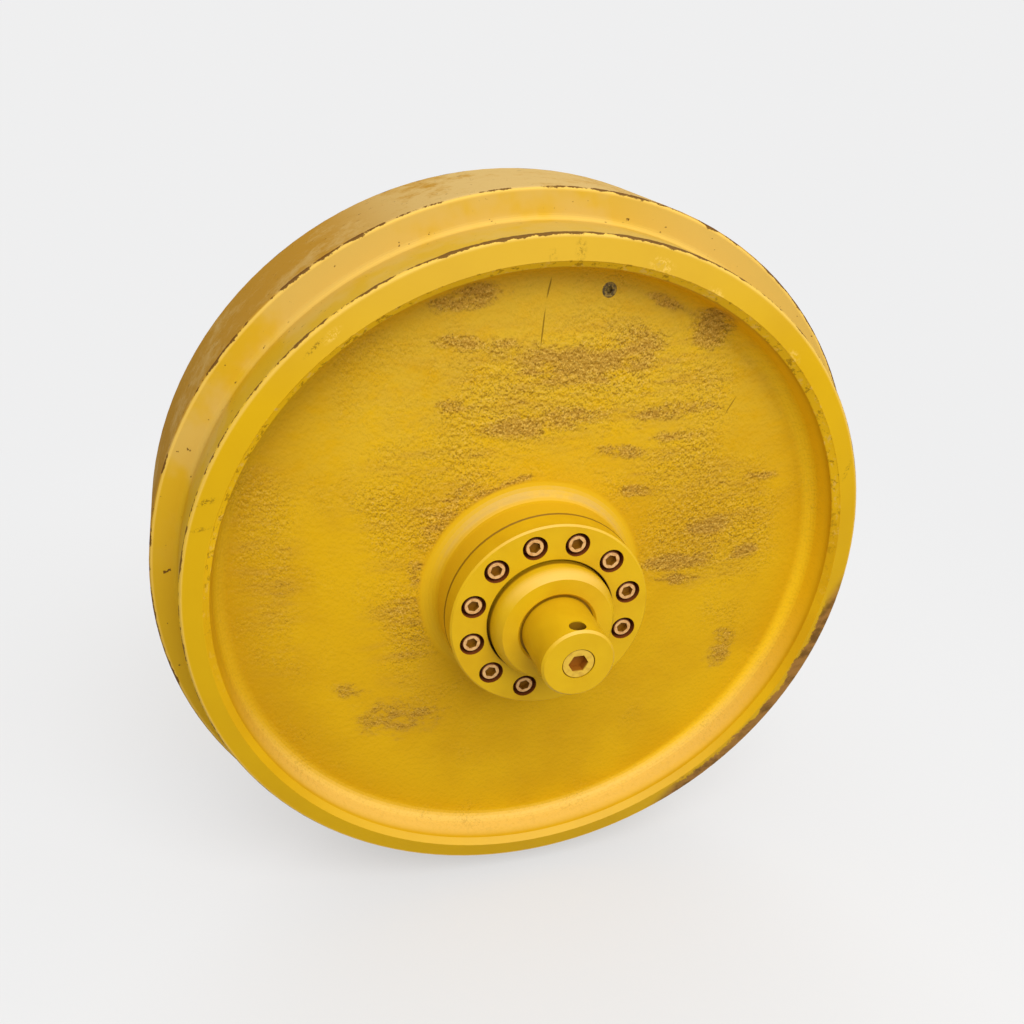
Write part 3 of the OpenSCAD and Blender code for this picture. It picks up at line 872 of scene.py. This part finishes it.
def makePlugSteel():
    look = plugSteel
    material, tree, shader = newFinish("paintedPlugSteel", look["roughness"])
    here = wheelPlace(tree)
    stain = fade(tree, grain(tree, here["place"], *look["grain"]), *look["stainCut"])
    colour = coat(tree, look["face"], look["stain"], stain, look["stainShare"])
    colour = coat(tree, colour, look["socket"], fade(tree, here["height"], *look["socketTop"]))
    colour = coat(tree, colour, look["ring"], fade(tree, here["radius"], *look["ringRadius"]))
    feed(tree, colour, shader.inputs["Base Color"])
    shader.inputs["Specular IOR Level"].default_value = look["specular"]
    addBump(tree, grain(tree, here["place"], *look["skin"]), look["bumpStrength"], look["bumpHeight"], shader)
    return material


ventSteel = {
    "face": tint(150, 122, 46),
    "dirt": tint(70, 54, 18),
    "grain": (300.0, 3.0),
    "dirtCut": (0.4, 0.6),
    "skin": (400.0, 3.0),
    "roughness": 0.7,
    "bumpStrength": 0.4,
    "bumpHeight": 0.001,
}


def makeVentSteel():
    look = ventSteel
    material, tree, shader = newFinish("dirtyVentSteel", look["roughness"])
    place = wheelPlace(tree)["place"]
    dirt = fade(tree, grain(tree, place, *look["grain"]), *look["dirtCut"])
    feed(tree, blend(tree, dirt, look["face"], look["dirt"]), shader.inputs["Base Color"])
    addBump(tree, grain(tree, place, *look["skin"]), look["bumpStrength"], look["bumpHeight"], shader)
    return material


dress(["cover_screws_front", "cover_screws_rear"], makeScrewSteel())
dress(["fill_plug_front", "fill_plug_rear"], makePlugSteel())
dress(["vent_plug_front", "vent_plug_rear"], makeVentSteel())
print("screws and plugs finished")


# inner pieces: bronze bushes, ground seal rings, rubber and weld

innerLooks = {
    "bushBronze": {"light": tint(186, 132, 66), "dark": tint(140, 92, 42), "rough": 0.35, "metal": 0.9},
    "groundSealIron": {"light": tint(128, 128, 132), "dark": tint(92, 92, 96), "rough": 0.32, "metal": 0.9},
    "blackSealRubber": {"light": tint(44, 44, 44), "dark": tint(26, 26, 26), "rough": 0.75, "metal": 0.0},
    "weldBead": {"light": tint(110, 100, 92), "dark": tint(78, 66, 56), "rough": 0.6, "metal": 0.6},
}

# fine turning marks, the same on all of them
turningMarks = {"grain": ((60.0, 900.0, 60.0), 3.0), "cut": (0.35, 0.65), "strength": 0.15, "height": 0.0004}


def makeInnerLook(name):
    look = innerLooks[name]
    material, tree, shader = newFinish(name, look["rough"], look["metal"])
    rings = grain(tree, wheelPlace(tree)["place"], *turningMarks["grain"])
    colour = blend(tree, fade(tree, rings, *turningMarks["cut"]), look["light"], look["dark"])
    feed(tree, colour, shader.inputs["Base Color"])
    addBump(tree, rings, turningMarks["strength"], turningMarks["height"], shader)
    return material


dress(["bush_front", "bush_rear"], makeInnerLook("bushBronze"))
dress([n for n in nodes if n.startswith("seal_ring")], makeInnerLook("groundSealIron"))
dress([n for n in nodes if n.startswith("seal_toric") or "oring" in n], makeInnerLook("blackSealRubber"))
dress(["hub_weld"], makeInnerLook("weldBead"))
print("inner pieces finished")


# floor, light and camera

stageSet = {
    "floor": cadLow.z,
    "half": 200.0,
    "pale": (0.863, 0.863, 0.866, 1.0),
    "paleGround": (0.75, 0.75, 0.75, 1.0),
    "ground": (0.36, 0.36, 0.36, 1.0),
    "roughness": 0.9,
    "sky": (1.0, 1.0, 1.0, 1.0),
    "skyLevel": 0.60,
    # how much of the floor's own shadow shows, and how far out it fades
    "shadowShare": 0.45,
    "shadowReach": (0.7, 1.9),
}


def seenDirectly(tree):
    # 1 for what the camera sees, straight or by mirror or glass
    path = tree.nodes.new("ShaderNodeLightPath")
    return either(tree, path.outputs["Is Camera Ray"], path.outputs["Is Glossy Ray"],
                  path.outputs["Is Transmission Ray"])


def mixShaders(tree, amount, first, second):
    node = tree.nodes.new("ShaderNodeMixShader")
    feed(tree, amount, node.inputs[0])
    feed(tree, first.outputs[0], node.inputs[1])
    feed(tree, second.outputs[0], node.inputs[2])
    return node


def makeFloor():
    look = stageSet
    mesh = bpy.data.meshes.new("paleFloor")
    floorShape = bmesh.new()
    bmesh.ops.create_grid(floorShape, x_segments=1, y_segments=1, size=look["half"])
    bmesh.ops.translate(floorShape, verts=floorShape.verts, vec=(0.0, 0.0, look["floor"]))
    floorShape.to_mesh(mesh)
    floorShape.free()
    floor = bpy.data.objects.new("paleFloor", mesh)
    bpy.context.scene.collection.objects.link(floor)
    material, tree, shader = newFinish("paleFloor", look["roughness"])
    shader.inputs["Base Color"].default_value = look["ground"]
    shader.inputs["Specular IOR Level"].default_value = 0.0
    glow = tree.nodes.new("ShaderNodeEmission")
    glow.inputs["Color"].default_value = look["pale"]
    shade = tree.nodes.new("ShaderNodeBsdfDiffuse")
    shade.inputs["Color"].default_value = look["paleGround"]
    coord = tree.nodes.new("ShaderNodeTexCoord")
    far = fade(tree, size(tree, coord.outputs["Object"]), *look["shadowReach"])
    share = plus(tree, both(tree, far, look["shadowShare"]), 1.0 - look["shadowShare"])
    pale = mixShaders(tree, share, shade, glow)
    mixer = mixShaders(tree, seenDirectly(tree), shader, pale)
    feed(tree, mixer.outputs[0], tree.nodes["Material Output"].inputs["Surface"])
    mesh.materials.append(material)


def makeSky():
    look = stageSet
    world = bpy.data.worlds.new("softSky")
    bpy.context.scene.world = world
    world.use_nodes = True
    tree = world.node_tree
    light = tree.nodes["Background"]
    light.inputs["Color"].default_value = look["sky"]
    light.inputs["Strength"].default_value = look["skyLevel"]
    back = tree.nodes.new("ShaderNodeBackground")
    back.inputs["Color"].default_value = look["pale"]
    mixer = mixShaders(tree, seenDirectly(tree), light, back)
    feed(tree, mixer.outputs[0], tree.nodes["World Output"].inputs["Surface"])


# the back lamp makes no glare along the flange
lamps = {
    "keyLamp": {"place": (0.25, -2.6, 2.6), "wide": 3.2, "power": 116.0, "glossy": True},
    "backLamp": {"place": (0.5, 3.0, 0.6), "wide": 2.0, "power": 60.0, "glossy": False},
}


def addLamp(name):
    look = lamps[name]
    data = bpy.data.lights.new(name, "AREA")
    data.shape = "DISK"
    data.size = look["wide"]
    data.energy = look["power"]
    lamp = bpy.data.objects.new(name, data)
    bpy.context.scene.collection.objects.link(lamp)
    lamp.location = look["place"]
    lamp.rotation_mode = "QUATERNION"
    lamp.rotation_quaternion = (-lamp.location).to_track_quat("-Z", "Y")    # aimed at the wheel's centre
    lamp.visible_glossy = look["glossy"]


photoCamera = {
    "place": (-0.327, -1.067, 0.576),
    "tilt": 59.325,
    "turn": -12.835,
    "sensor": 36.0,
    "lens": 34.61,
    "shiftX": 0.0710,
    "shiftY": 0.0853,
    "nearest": 0.01,
    "farthest": 200.0,
}


def makeCamera():
    look = photoCamera
    data = bpy.data.cameras.new("photoCamera")
    data.sensor_width = look["sensor"]
    data.lens = look["lens"]
    data.shift_x = look["shiftX"]
    data.shift_y = look["shiftY"]
    data.clip_start = look["nearest"]
    data.clip_end = look["farthest"]
    camera = bpy.data.objects.new("photoCamera", data)
    bpy.context.scene.collection.objects.link(camera)
    camera.location = look["place"]
    camera.rotation_euler = (math.radians(look["tilt"]), 0.0, math.radians(look["turn"]))
    bpy.context.scene.camera = camera


makeFloor()
makeSky()
for lampName in lamps:
    addLamp(lampName)
makeCamera()
bpy.context.scene.view_settings.view_transform = "Standard"
print("stage, lamps and camera ready")
